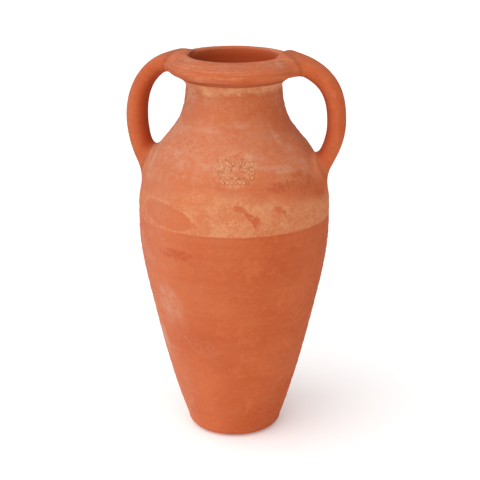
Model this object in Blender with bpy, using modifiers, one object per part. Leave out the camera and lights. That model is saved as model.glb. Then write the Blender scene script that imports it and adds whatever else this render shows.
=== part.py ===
"""Terracotta amphora, made the way a potter makes a large jar: thrown sections stacked
and luted together, coils pressed over the seams inside, a thrown lip ring and two pulled
handles, each with a collar of soft clay wiped round its two roots.

Metres, +Z up. The origin is the middle of the foot, on the ground. The handles reach
along X, and the stamped face of the shoulder looks along -Y.
"""
import math

import bmesh
import bpy
import numpy as np
from mathutils import Vector

# ---- driving dimensions, metres ------------------------------------------------------
HEIGHT = 0.550
WALL = 0.010
FLOOR = 0.014
FOOT_CORNER = 0.014
FLOOR_CORNER = 0.008
GAP = 0.0003

# Outer side of the body: height, radius.
BODY_OUTLINE = (
    (0.014, 0.0680),
    (0.038, 0.0762),
    (0.080, 0.0886),
    (0.140, 0.1044),
    (0.200, 0.1183),
    (0.250, 0.1287),
    (0.290, 0.1343),
    (0.325, 0.1353),
    (0.355, 0.1341),
    (0.380, 0.1272),
    (0.400, 0.1189),
    (0.420, 0.1083),
    (0.440, 0.0925),
    (0.460, 0.0783),
    (0.480, 0.0710),
    (0.508, 0.0671),
)

# Seams between the thrown sections.
FOOT_SEAM = 0.038
BELLY_SEAM = 0.327
NECK_SEAM = 0.462
LIP_SEAM = 0.508

# Lip ring: from the outer root, out along the underside, over the top and down inside.
LIP_UNDERSIDE = (
    (0.508, 0.0671),
    (0.512, 0.0682),
    (0.5165, 0.0722),
    (0.5220, 0.0800),
    (0.5262, 0.0883),
    (0.5310, 0.0918),
)
LIP_TOP = (
    (0.5362, 0.0912),
    (0.5424, 0.0868),
    (0.5481, 0.0780),
    (HEIGHT, 0.0707),
    (0.5498, 0.0661),
    (0.5483, 0.0633),
)
LIP_INSIDE = (
    (0.5445, 0.0616),
    (0.5350, 0.0598),
    (0.5200, 0.0580),
)

# Seam coils inside: half height against the wall, how far their thin edges stand in,
# and how much further their middles do.
COIL_HALF_HEIGHT = 0.013
COIL_EDGE = 0.001
COIL_DEPTH = 0.0045

# Handles: the side they stand on, the reach of the middle line from the axis and half its
# thickness; then the line's ends in the upright plane (out, up), the slope of each end, the
# pull of each knot, and the half thickness at the three knots as shares of the whole.
HANDLE_SIDE_HEIGHT = 0.4595
HANDLE_WIDENING = 1.22
HANDLES = {
    "handle_left": {
        "side": -1,
        "reach": 0.1402,
        "thickness": 0.0146,
        "top": (0.078, 0.5414),
        "top_slope": math.radians(-7),
        "foot": (0.114, 0.3730),
        "foot_slope": math.radians(65),
        "pulls": (0.042, 0.042, 0.032, 0.034),
        "taper": (0.77, 1.0, 0.97),
    },
    "handle_right": {
        "side": 1,
        "reach": 0.1442,
        "thickness": 0.0130,
        "top": (0.078, 0.5435),
        "top_slope": math.radians(-14),
        "foot": (0.114, 0.3730),
        "foot_slope": math.radians(69),
        "pulls": (0.062, 0.034, 0.032, 0.034),
        "taper": (1.0, 1.0, 0.95),
    },
}

# Collars of soft clay at the roots: the span of the handle's line, the shares of it that
# they run between, how far they sag at the root, and how much thicker than the handle
# they are at their own three knots.
COLLARS = {
    "top_collar": {"span": 0, "shares": (0.05, 0.24), "sag": 0.006, "extra": (0.0068, 0.0048, 0.0020)},
    "foot_collar": {"span": 1, "shares": (0.93, 0.47), "sag": 0.0, "extra": (0.0105, 0.0060, 0.0025)},
}

# Facets.
TURNED_STEPS = 48
HANDLE_STEPS = 9
HANDLE_SIDES = 16
SHORTEST_STEP = 0.006
MERGE_DISTANCE = 0.00005
SHARP_ANGLE = math.radians(40)

TERRACOTTA = {
    "lower_clay": (0.60, 0.21, 0.10),
    "shoulder_clay": (0.66, 0.29, 0.17),
    "neck_clay": (0.63, 0.25, 0.14),
    "handle_clay": (0.58, 0.20, 0.10),
    "inner_clay": (0.42, 0.14, 0.08),
}
TERRACOTTA_ROUGHNESS = 0.88


# ---- scene and materials -------------------------------------------------------------
def clear_scene():
    for obj in list(bpy.data.objects):
        bpy.data.objects.remove(obj, do_unlink=True)


def new_collection(name):
    collection = bpy.data.collections.new(name)
    bpy.context.scene.collection.children.link(collection)
    return collection


def clay(name):
    material = bpy.data.materials.get(name)
    if material is None:
        material = bpy.data.materials.new(name)
        material.use_nodes = True
        shader = material.node_tree.nodes["Principled BSDF"]
        shader.inputs["Base Color"].default_value = (*TERRACOTTA[name], 1.0)
        shader.inputs["Roughness"].default_value = TERRACOTTA_ROUGHNESS
        shader.inputs["Metallic"].default_value = 0.0
    return material


def finish_piece(obj, clay_name):
    obj.data.materials.clear()
    obj.data.materials.append(clay(clay_name))
    obj.data.shade_smooth()
    obj.data.set_sharp_from_angle(angle=SHARP_ANGLE)


# ---- the wall's outer and inner lines ------------------------------------------------
class SmoothLine:
    """Radius as a smooth function of height, through an outline's own points."""

    def __init__(self, points):
        self.heights = np.array([height for height, _ in points])
        self.radii = np.array([radius for _, radius in points])
        self.slopes = np.gradient(self.radii, self.heights)

    def radius(self, height):
        span = int(np.clip(np.searchsorted(self.heights, height) - 1, 0, len(self.heights) - 2))
        length = self.heights[span + 1] - self.heights[span]
        t = (height - self.heights[span]) / length
        start = self.radii[span] * (1 + 2 * t) + self.slopes[span] * length * t
        end = self.radii[span + 1] * (3 - 2 * t) - self.slopes[span + 1] * length * (1 - t)
        return float(start * (1 - t) ** 2 + end * t ** 2)


OUTER = SmoothLine(BODY_OUTLINE)


def inner_line(depth):
    """The outer line moved towards the axis by depth, square to the wall."""
    heights = np.linspace(BODY_OUTLINE[0][0], BODY_OUTLINE[-1][0], 160)
    radii = np.array([OUTER.radius(height) for height in heights])
    slopes = np.gradient(radii, heights)
    lengths = np.sqrt(1 + slopes ** 2)
    return heights + depth * slopes / lengths, radii - depth / lengths


def inner_radius(height, depth=WALL):
    heights, radii = inner_line(depth)
    return float(np.interp(height, heights, radii))


def section_heights(low, high):
    """A section's end heights, with the outline's own and the seam coils' edges between."""
    edges = [seam + side * COIL_HALF_HEIGHT for seam in (FOOT_SEAM, BELLY_SEAM) for side in (-1, 1)]
    heights = [height for height, _ in BODY_OUTLINE]
    heights = [height for height in heights if min(abs(height - edge) for edge in edges) > SHORTEST_STEP]
    heights = [height for height in heights + edges if low + SHORTEST_STEP < height < high - SHORTEST_STEP]
    return [low, *sorted(heights), high]


# ---- shapes --------------------------------------------------------------------------
def turned(name, profile, collection, closed=True):
    """A profile of (radius, height) points turned about the axis. It runs down the
    outer side, and back up the inner side where it is closed."""
    mesh = bpy.data.meshes.new(name)
    corners = [(radius, 0.0, height) for radius, height in profile]
    edges = [(index, index + 1) for index in range(len(corners) - 1)]
    if closed:
        edges.append((len(corners) - 1, 0))
    mesh.from_pydata(corners, edges, [])
    obj = bpy.data.objects.new(name, mesh)
    collection.objects.link(obj)
    screw = obj.modifiers.new("Turn", "SCREW")
    screw.steps = TURNED_STEPS
    screw.render_steps = TURNED_STEPS
    screw.use_merge_vertices = True
    screw.merge_threshold = MERGE_DISTANCE
    screw.use_smooth_shade = True
    return obj


def wall_section(name, low, high, collection):
    """A thrown section of the wall between two level seams."""
    heights = section_heights(low, high)
    outer = [(OUTER.radius(height), height) for height in reversed(heights)]
    inner = [(inner_radius(height), height) for height in heights]
    return turned(name, outer + inner, collection)


def foot_dish(collection):
    """The floor of the jar with its turned-up edge, from the axis out, over and down."""
    top = FOOT_SEAM - GAP
    corner_radius = BODY_OUTLINE[0][1] - FOOT_CORNER
    inside = inner_radius(FLOOR + FLOOR_CORNER)
    turns = [math.radians(angle) for angle in (0, 22.5, 45, 67.5, 90)]
    profile = [(0.0, FLOOR)]
    profile += [
        (
            inside - FLOOR_CORNER * (1 - math.sin(turn)),
            FLOOR + FLOOR_CORNER * (1 - math.cos(turn)),
        )
        for turn in turns
    ]
    coil_edge = FOOT_SEAM - COIL_HALF_HEIGHT
    profile += [(inner_radius(height), height) for height in (coil_edge, top)]
    profile.append((OUTER.radius(top), top))
    profile += [
        (corner_radius + FOOT_CORNER * math.cos(turn), FOOT_CORNER * (1 - math.sin(turn)))
        for turn in turns
    ]
    profile.append((0.0, 0.0))
    return turned("foot_dish", profile, collection, closed=False)


def seam_coil(name, seam, collection):
    """A coil of clay pressed flat against the inside of the wall, over a seam."""
    outer = [
        (inner_radius(seam + side * COIL_HALF_HEIGHT, WALL + GAP), seam + side * COIL_HALF_HEIGHT)
        for side in (1, 0, -1)
    ]
    shares = (-1.0, -0.7, -0.35, 0.0, 0.35, 0.7, 1.0)
    heights = [seam + share * COIL_HALF_HEIGHT for share in shares]
    inner = [
        (inner_radius(height) - COIL_EDGE - COIL_DEPTH * math.sqrt(1 - share * share), height)
        for height, share in zip(heights, shares)
    ]
    return turned(name, outer + inner, collection)


def lip_ring(collection):
    bottom = LIP_SEAM + GAP
    loop = [(radius, height) for height, radius in reversed(LIP_UNDERSIDE[1:])]
    loop.append((LIP_UNDERSIDE[0][1], bottom))
    loop.append((inner_radius(LIP_SEAM - GAP), bottom))
    loop += [(radius, height) for height, radius in reversed(LIP_INSIDE)]
    loop += [(radius, height) for height, radius in reversed(LIP_TOP)]
    return turned("lip_ring", loop, collection)


def jar_cutter(collection):
    """The whole outer shape of the jar, one gap larger, which roots are cut back to."""
    heights = section_heights(BODY_OUTLINE[0][0], LIP_SEAM)
    heights = sorted({*heights, FOOT_SEAM, BELLY_SEAM, NECK_SEAM})
    body = [(height, OUTER.radius(height)) for height in heights]
    outline = body + list(LIP_UNDERSIDE[1:]) + list(LIP_TOP)
    points = np.array([(radius, height) for height, radius in outline])
    ways = np.gradient(points, axis=0)
    ways /= np.linalg.norm(ways, axis=1)[:, None]
    out = np.column_stack((ways[:, 1], -ways[:, 0]))
    grown = points + GAP * out
    profile = [(0.0, HEIGHT + GAP)]
    profile += [tuple(point) for point in reversed(grown.tolist())]
    profile.append((0.0, BODY_OUTLINE[0][0]))
    cutter = turned("jar_cutter", profile, collection, closed=False)
    as_guide(cutter)
    return cutter


def as_guide(obj):
    obj.hide_render = True
    obj.display_type = "WIRE"


def along(slope, length):
    return Vector((math.cos(slope), math.sin(slope))) * length


def handle_knots(form):
    """A handle's three knots in its upright plane: middle, pull before, pull after."""
    top, foot = Vector(form["top"]), Vector(form["foot"])
    bend = Vector((form["reach"], HANDLE_SIDE_HEIGHT))
    top_reach, before, after, foot_reach = form["pulls"]
    top_pull = along(form["top_slope"], top_reach)
    foot_pull = along(form["foot_slope"], foot_reach)
    knots = (
        (top, top - top_pull, top + top_pull),
        (bend, bend + Vector((0, before)), bend - Vector((0, after))),
        (foot, foot + foot_pull, foot - foot_pull),
    )
    return [[Vector((form["side"] * point.x, 0.0, point.y)) for point in knot] for knot in knots]


def on_line(knots, span, share):
    """A point of a handle's middle line, at a share of one of its two spans."""
    start, _, after = knots[span]
    end, before, _ = knots[span + 1]
    rest = 1 - share
    ends = start * rest ** 3 + end * share ** 3
    return ends + 3 * after * share * rest ** 2 + 3 * before * share ** 2 * rest


def tube_mesh(name, knots, radii, thickness, collection):
    """A closed round tube on a Bezier route, flattened so that it is wider across."""
    curve = bpy.data.curves.new(name, "CURVE")
    curve.dimensions = "3D"
    curve.bevel_depth = thickness
    curve.bevel_resolution = HANDLE_SIDES // 2 - 2
    curve.resolution_u = HANDLE_STEPS
    curve.use_fill_caps = True
    spline = curve.splines.new("BEZIER")
    spline.bezier_points.add(len(knots) - 1)
    for point, (middle, before, after), radius in zip(spline.bezier_points, knots, radii):
        point.handle_left_type = "FREE"
        point.handle_right_type = "FREE"
        point.co = middle
        point.handle_left = before
        point.handle_right = after
        point.radius = radius
    tube = bpy.data.objects.new(name + "_curve", curve)
    tube.scale.y = HANDLE_WIDENING
    collection.objects.link(tube)
    bpy.context.view_layer.update()

    evaluated = tube.evaluated_get(bpy.context.evaluated_depsgraph_get())
    mesh = bpy.data.meshes.new_from_object(evaluated)
    mesh.name = name
    mesh.transform(tube.matrix_world)
    bpy.data.objects.remove(tube, do_unlink=True)
    welded = bmesh.new()
    welded.from_mesh(mesh)
    bmesh.ops.remove_doubles(welded, verts=welded.verts, dist=MERGE_DISTANCE)
    bmesh.ops.recalc_face_normals(welded, faces=welded.faces)
    welded.to_mesh(mesh)
    welded.free()
    obj = bpy.data.objects.new(name, mesh)
    collection.objects.link(obj)
    return obj


def cut_back(obj, cutter):
    boolean = obj.modifiers.new("Cut back to " + cutter.name, "BOOLEAN")
    boolean.operation = "DIFFERENCE"
    boolean.solver = "EXACT"
    boolean.object = cutter


def handle(name, form, parts, cutters, jar):
    """One pulled handle, and the two collars of soft clay at its roots."""
    knots = handle_knots(form)
    thickness = form["thickness"]
    piece = tube_mesh(name, knots, form["taper"], thickness, parts)
    cut_back(piece, jar)
    finish_piece(piece, "handle_clay")

    grown_taper = [share + GAP / thickness for share in form["taper"]]
    grown = tube_mesh(name + "_grown", knots, grown_taper, thickness, cutters)
    as_guide(grown)
    for root, root_share in (("top_collar", form["taper"][0]), ("foot_collar", form["taper"][2])):
        collar(f"{name}_{root}", COLLARS[root], knots, thickness * root_share, parts, (grown, jar))


def collar(name, form, knots, thickness, parts, cutters):
    """A flared sleeve of clay along a short straight route, cut back to what it grips."""
    start, end = (on_line(knots, form["span"], share) for share in form["shares"])
    start -= Vector((0, 0, form["sag"]))
    middle = (start + end) / 2
    third = (end - start) / 3
    sleeve = [
        (start, start - third, start + third),
        (middle, middle - third / 2, middle + third / 2),
        (end, end - third, end + third),
    ]
    flare = [1 + extra / thickness for extra in form["extra"]]
    piece = tube_mesh(name, sleeve, flare, thickness, parts)
    for cutter in cutters:
        cut_back(piece, cutter)
    finish_piece(piece, "handle_clay")


# ---- the amphora ---------------------------------------------------------------------
def build():
    clear_scene()
    parts = new_collection("amphora")
    cutters = new_collection("amphora_cutters")

    finish_piece(foot_dish(parts), "lower_clay")
    finish_piece(seam_coil("foot_seam_coil", FOOT_SEAM, parts), "inner_clay")
    finish_piece(wall_section("lower_wall", FOOT_SEAM, BELLY_SEAM - GAP, parts), "lower_clay")
    finish_piece(seam_coil("belly_seam_coil", BELLY_SEAM, parts), "inner_clay")
    finish_piece(wall_section("shoulder", BELLY_SEAM, NECK_SEAM - GAP, parts), "shoulder_clay")
    finish_piece(wall_section("neck", NECK_SEAM, LIP_SEAM, parts), "neck_clay")
    finish_piece(lip_ring(parts), "neck_clay")

    jar = jar_cutter(cutters)
    for name, form in HANDLES.items():
        handle(name, form, parts, cutters, jar)


build()
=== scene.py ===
"""A terracotta amphora: thrown wall sections, a heavy lip, two pulled handles whose roots
are wiped into the jar, a pressed stamp on the shoulder and a bloom of lime on the clay.

Each finished piece stands for the plain solid of the same name, in the same place.
"""
import math

import bmesh
import bpy
import numpy as np
from bpy.props import FloatProperty, FloatVectorProperty, IntProperty, PointerProperty
from mathutils import Matrix, Vector, noise


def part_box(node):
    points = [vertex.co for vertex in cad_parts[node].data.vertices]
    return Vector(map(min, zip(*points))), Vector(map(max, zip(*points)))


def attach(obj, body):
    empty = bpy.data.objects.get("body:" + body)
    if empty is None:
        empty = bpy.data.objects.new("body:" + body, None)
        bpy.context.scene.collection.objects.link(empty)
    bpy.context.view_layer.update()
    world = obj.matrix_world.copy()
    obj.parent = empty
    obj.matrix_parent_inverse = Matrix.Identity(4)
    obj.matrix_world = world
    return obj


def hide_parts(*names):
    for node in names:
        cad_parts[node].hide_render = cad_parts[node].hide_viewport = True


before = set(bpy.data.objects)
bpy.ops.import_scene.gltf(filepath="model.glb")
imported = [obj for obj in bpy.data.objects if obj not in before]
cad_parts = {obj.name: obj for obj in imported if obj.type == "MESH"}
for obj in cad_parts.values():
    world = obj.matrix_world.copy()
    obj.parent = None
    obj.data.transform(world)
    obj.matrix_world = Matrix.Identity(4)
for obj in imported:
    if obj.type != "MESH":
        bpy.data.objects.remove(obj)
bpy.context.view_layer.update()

bl_info = {
    "name": "Terracotta Amphora",
    "version": (1, 0, 0),
    "blender": (4, 5, 0),
    "location": "View3D > Sidebar > Amphora",
    "description": "Builds a hand-thrown terracotta amphora piece by piece",
    "category": "Object",
}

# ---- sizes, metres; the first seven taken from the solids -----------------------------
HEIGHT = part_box("lip_ring")[1].z
BELLY_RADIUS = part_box("lower_wall")[1].x
LIP_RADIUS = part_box("lip_ring")[1].x
FOOT_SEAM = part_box("lower_wall")[0].z
BELLY_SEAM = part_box("shoulder")[0].z
NECK_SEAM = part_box("neck")[0].z
LIP_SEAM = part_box("neck")[1].z
WALL = 0.010
FLOOR = 0.014
FLOOR_CORNER = 0.008
FOOT_CORNER = 0.014
FOOT_ROUNDNESS = 1.35
FOOT_HOLLOW = 0.0009
FOOT_RIM = 0.006
FOOT_RIM_SLOPE = 0.004

# Seam coils inside: spacing of rings, depth at their thin edges, how much further their
# middles stand in, how far their backs reach into the wall, and their thumb marks.
COIL_PITCH = 0.0016
COIL_EDGE = 0.0008
COIL_DEPTH = 0.0047
COIL_BACK = 0.0012
THUMB_DEPTH = 0.0012
THUMB_PITCH = 0.021
THUMB_REACH = 0.011

# Outer side of the body, in shares of the height and of the belly's radius.
BODY_SHARES = (
    (0.0255, 0.5026), (0.0691, 0.5632), (0.1455, 0.6548), (0.2545, 0.7716),
    (0.3636, 0.8743), (0.4545, 0.9512), (0.5273, 0.9926), (0.5909, 1.0000),
    (0.6455, 0.9911), (0.6909, 0.9401), (0.7273, 0.8788), (0.7636, 0.8004),
    (0.8000, 0.6837), (0.8364, 0.5787), (0.8727, 0.5248), (0.9236, 0.4959),
)

# The lip's section from the outer root over the top to the inner root, in shares of its
# own height and of its radius.
LIP_SHARES = (
    (0.000, 0.731), (0.090, 0.740), (0.202, 0.783), (0.333, 0.871), (0.433, 0.962),
    (0.548, 1.000), (0.680, 0.990), (0.820, 0.945), (0.955, 0.850), (1.000, 0.770),
    (0.995, 0.720), (0.960, 0.690), (0.870, 0.671), (0.643, 0.651), (0.286, 0.632),
    (0.000, 0.6231),
)

# Handles: the side they stand on, the ends of the middle line (out, up) in metres with the
# slope there, the pull of each knot along the line, and the half depth at the top, the side
# and the foot in shares of the side's.
HANDLE_WIDENING = 1.22
SIDE_HEIGHT = 0.4595
HANDLES = {
    "handle_left": {
        "side": -1,
        "top": (0.078, 0.5414),
        "top_slope": math.radians(-7),
        "foot": (0.112, 0.3740),
        "foot_slope": math.radians(56),
        "pulls": (0.042, 0.042, 0.032, 0.032),
        "depths": (0.77, 1.00, 0.98),
    },
    "handle_right": {
        "side": 1,
        "top": (0.078, 0.5438),
        "top_slope": math.radians(-14),
        "foot": (0.114, 0.3740),
        "foot_slope": math.radians(72),
        "pulls": (0.062, 0.034, 0.035, 0.028),
        "depths": (1.03, 0.99, 0.93),
    },
}
TOP_FLARE = 1.28
HANDLE_FACES = 72

# The tail of a handle inside the lip: how far out and how far below the top knot it starts,
# and its thickness there as a share of the top's.
TAIL_REACH = 0.070
TAIL_DROP = 0.0055
TAIL_SHARE = 0.75

# Collars: faces round, rings from handle to jar, and how deep their backs lie in the clay.
COLLAR_FACES = 120
COLLAR_RINGS = 30
COLLAR_SUNK = 0.0020


# ---- settings a user would change -----------------------------------------------------
class AmphoraShape(bpy.types.PropertyGroup):
    """How finely and how evenly the jar is made"""

    steps: IntProperty(
        name="Steps Round", description="Faces round the jar", default=384, min=48, step=16
    )
    pitch: FloatProperty(
        name="Pitch", description="Spacing of rings on the outer side",
        default=0.0024, subtype="DISTANCE", unit="LENGTH",
    )
    wobble: FloatProperty(
        name="Wobble", description="How far the hand-thrown clay strays from true",
        default=0.0007, subtype="DISTANCE", unit="LENGTH",
    )
    sway: FloatProperty(
        name="Sway", description="How far the belly stands off to the left of the axis",
        default=0.0006, subtype="DISTANCE", unit="LENGTH",
    )
    outer_rings: FloatProperty(
        name="Outer Rings", description="Depth of the throwing rings outside",
        default=0.00012, subtype="DISTANCE", unit="LENGTH",
    )
    inner_rings: FloatProperty(
        name="Inner Rings", description="Depth of the finger grooves inside",
        default=0.0005, subtype="DISTANCE", unit="LENGTH",
    )
    top_blend: FloatProperty(
        name="Top Blend", description="Reach of the clay wiped round the upper roots",
        default=0.0130, subtype="DISTANCE", unit="LENGTH",
    )
    foot_blend: FloatProperty(
        name="Foot Blend", description="Reach of the clay wiped round the lower roots",
        default=0.018, subtype="DISTANCE", unit="LENGTH",
    )
    stamp_depth: FloatProperty(
        name="Stamp Depth", description="Depth of the pressed stamp",
        default=0.0009, subtype="DISTANCE", unit="LENGTH",
    )


class AmphoraClay(bpy.types.PropertyGroup):
    """Colours of the fired clay, of what weather leaves on it, and of the painted sheen and shade on it
    """

    body: FloatVectorProperty(
        name="Clay", description="The plain fired clay",
        default=(0.57, 0.136, 0.048), subtype="COLOR", size=3, min=0, max=1,
    )
    deep: FloatVectorProperty(
        name="Deep Clay", description="Redder, harder fired patches",
        default=(0.475, 0.083, 0.023), subtype="COLOR", size=3, min=0, max=1,
    )
    bloom: FloatVectorProperty(
        name="Lime Bloom", description="Pale salts dried on the shoulder",
        default=(0.76, 0.365, 0.175), subtype="COLOR", size=3, min=0, max=1,
    )
    # Also the colour of the painted sheen on up-facing clay and on what faces left.
    dust_and_sheen: FloatVectorProperty(
        name="Pink Dust", description="Dusty film on the upper half and the lip",
        default=(0.62, 0.300, 0.195), subtype="COLOR", size=3, min=0, max=1,
    )
    # Also the colour of the painted shade on the handles' inner sides.
    inner: FloatVectorProperty(
        name="Inside", description="The darker clay inside the jar",
        default=(0.42, 0.062, 0.016), subtype="COLOR", size=3, min=0, max=1,
    )
    # Also the colour of the painted shade under the lip, round the handle roots, on the left edge and
    # along the stamp's lines.
    dirt_and_shade: FloatVectorProperty(
        name="Dirt", description="What settles in creases",
        default=(0.16, 0.045, 0.022), subtype="COLOR", size=3, min=0, max=1,
    )


class AmphoraStage(bpy.types.PropertyGroup):
    """Floor, lights and camera"""

    floor: FloatVectorProperty(
        name="Floor", description="Colour of the floor",
        default=(0.97, 0.97, 0.97), subtype="COLOR", size=3, min=0, max=1,
    )
    floor_glow: FloatProperty(
        name="Floor Glow", description="Light of the floor's own, which thins the shadow", default=0.18
    )
    key: FloatProperty(name="Key", description="Strength of the soft key light", default=1.70)
    key_softness: FloatProperty(
        name="Key Softness", description="How wide the key light is",
        default=math.radians(80), subtype="ANGLE", unit="ROTATION",
    )
    key_turn: FloatProperty(
        name="Key Turn", description="Key's place round the jar, from the stamped side",
        default=math.radians(-20), subtype="ANGLE", unit="ROTATION",
    )
    key_rise: FloatProperty(
        name="Key Rise", description="How high the key stands",
        default=math.radians(54), subtype="ANGLE", unit="ROTATION",
    )
    sky: FloatProperty(name="Sky", description="Strength of the even light", default=0.385)
    sky_rise: FloatProperty(
        name="Sky Rise", description="How much brighter the sky is on the left", default=0.45
    )
    camera_turn: FloatProperty(
        name="Camera Turn", description="Camera's place round the jar, from the stamped side",
        default=math.radians(12.0), subtype="ANGLE", unit="ROTATION",
    )
    camera_distance: FloatProperty(
        name="Camera Distance", description="Level distance from the jar's axis",
        default=1.80, subtype="DISTANCE", unit="LENGTH",
    )
    camera_height: FloatProperty(
        name="Camera Height", description="Height above the floor",
        default=0.8586, subtype="DISTANCE", unit="LENGTH",
    )
    camera_pitch: FloatProperty(
        name="Camera Pitch", description="How far the camera looks down",
        default=math.radians(17.78), subtype="ANGLE", unit="ROTATION",
    )
    camera_aside: FloatProperty(
        name="Camera Aside", description="How far the camera looks past the axis, to the right",
        default=math.radians(0.251), subtype="ANGLE", unit="ROTATION",
    )
    camera_lens: FloatProperty(
        name="Camera Lens", description="Focal length in millimetres", default=98.57
    )


# ---- the jar's outer surface ----------------------------------------------------------
BODY_HEIGHTS = np.array([share for share, _ in BODY_SHARES]) * HEIGHT
BODY_RADII = np.array([share for _, share in BODY_SHARES]) * BELLY_RADIUS
BODY_SLOPES = np.gradient(BODY_RADII, BODY_HEIGHTS)


def outer_radius(height):
    """Radius of the outer side at a height below the lip, smooth through the outline."""
    height = np.asarray(height, float)
    span = np.clip(np.searchsorted(BODY_HEIGHTS, height) - 1, 0, len(BODY_HEIGHTS) - 2)
    length = BODY_HEIGHTS[span + 1] - BODY_HEIGHTS[span]
    t = (height - BODY_HEIGHTS[span]) / length
    start = BODY_RADII[span] * (1 + 2 * t) + BODY_SLOPES[span] * length * t
    end = BODY_RADII[span + 1] * (3 - 2 * t) - BODY_SLOPES[span + 1] * length * (1 - t)
    return start * (1 - t) ** 2 + end * t ** 2


def outer_slope(height):
    step = 0.0005
    return (outer_radius(height + step) - outer_radius(height - step)) / (2 * step)


def evenly(points, pitch):
    """Points at an even pitch along a line of (radius, height) points, ends kept."""
    points = np.asarray(points, float)
    lengths = np.linalg.norm(np.diff(points, axis=0), axis=1)
    along = np.concatenate(([0.0], np.cumsum(lengths)))
    count = max(2, int(round(along[-1] / pitch)) + 1)
    places = np.linspace(0, along[-1], count)
    return np.column_stack([np.interp(places, along, points[:, axis]) for axis in (0, 1)])


def outer_line(low, high, pitch):
    """The outer side from a low height to a high one, as (radius, height) points."""
    heights = np.linspace(low, high, 400)
    return evenly(np.column_stack((outer_radius(heights), heights)), pitch)


def inner_line(low, high, pitch, depth=WALL):
    """The wall's inner side, the outer side moved inwards square to itself."""
    heights = np.linspace(BODY_HEIGHTS[0], BODY_HEIGHTS[-1], 800)
    slopes = outer_slope(heights)
    lengths = np.sqrt(1 + slopes ** 2)
    inner_heights = heights + depth * slopes / lengths
    inner_radii = outer_radius(heights) - depth / lengths
    places = np.linspace(low, high, 400)
    line = np.column_stack((np.interp(places, inner_heights, inner_radii), places))
    return evenly(line, pitch)


def smooth_through(points, per_span=12):
    """A Catmull-Rom line through a few points."""
    points = np.asarray(points, float)
    padded = np.vstack((2 * points[0] - points[1], points, 2 * points[-1] - points[-2]))
    t = (np.arange(per_span) / per_span)[:, None]
    spans = []
    for before, start, end, after in zip(padded, padded[1:], padded[2:], padded[3:]):
        spans.append(0.5 * (
            2 * start + (end - before) * t
            + (2 * before - 5 * start + 4 * end - after) * t ** 2
            + (3 * start - before - 3 * end + after) * t ** 3
        ))
    return np.vstack((*spans, points[-1:]))


def curve(start, after, before, end):
    """Points along a Bezier curve."""
    t = np.linspace(0, 1, 120)[:, None]
    rest = 1 - t
    return start * rest ** 3 + 3 * after * t * rest ** 2 + 3 * before * t ** 2 * rest + end * t ** 3


def lip_line(pitch):
    """The lip's section from its outer root, over the top, to its inner root."""
    tall = HEIGHT - LIP_SEAM
    points = [(radius * LIP_RADIUS, LIP_SEAM + up * tall) for up, radius in LIP_SHARES]
    return evenly(smooth_through(points), pitch)


def surface_radius(height):
    """Radius of the outer side at any height, the lip's face included."""
    if height <= LIP_SEAM:
        return float(outer_radius(height))
    face = [(up, radius) for up, radius in LIP_SHARES if radius >= LIP_SHARES[0][1]]
    share = (height - LIP_SEAM) / (HEIGHT - LIP_SEAM)
    return LIP_RADIUS * float(np.interp(share, *zip(*face)))


# The outer surface as one line of points with its outward normals, which roots are wiped to.
SURFACE_LINE = np.vstack((outer_line(0.28, LIP_SEAM, 0.0012)[:-1], lip_line(0.0012)))
SURFACE_ALONG = np.gradient(SURFACE_LINE, axis=0)
SURFACE_ALONG /= np.linalg.norm(SURFACE_ALONG, axis=1)[:, None]
SURFACE_NORMALS = np.column_stack((SURFACE_ALONG[:, 1], -SURFACE_ALONG[:, 0]))


def nearest(flat, line):
    """For each flat point, the index of the line's nearest point."""
    found = np.empty(len(flat), int)
    for start in range(0, len(flat), 4000):
        part = flat[start:start + 4000]
        gaps = (part[:, :1] - line[:, 0]) ** 2 + (part[:, 1:] - line[:, 1]) ** 2
        found[start:start + 4000] = gaps.argmin(axis=1)
    return found


def off_jar(points):
    """Signed distance from points to the jar's outer surface, and the way out of it."""
    radius = np.maximum(np.hypot(points[:, 0], points[:, 1]), 1e-6)
    flat = np.column_stack((radius, points[:, 2]))
    index = nearest(flat, SURFACE_LINE)
    normals = SURFACE_NORMALS[index]
    distance = ((flat - SURFACE_LINE[index]) * normals).sum(axis=1)
    sideways = points[:, :2] * (normals[:, 0] / radius)[:, None]
    return distance, np.column_stack((sideways, normals[:, 1]))


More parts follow.
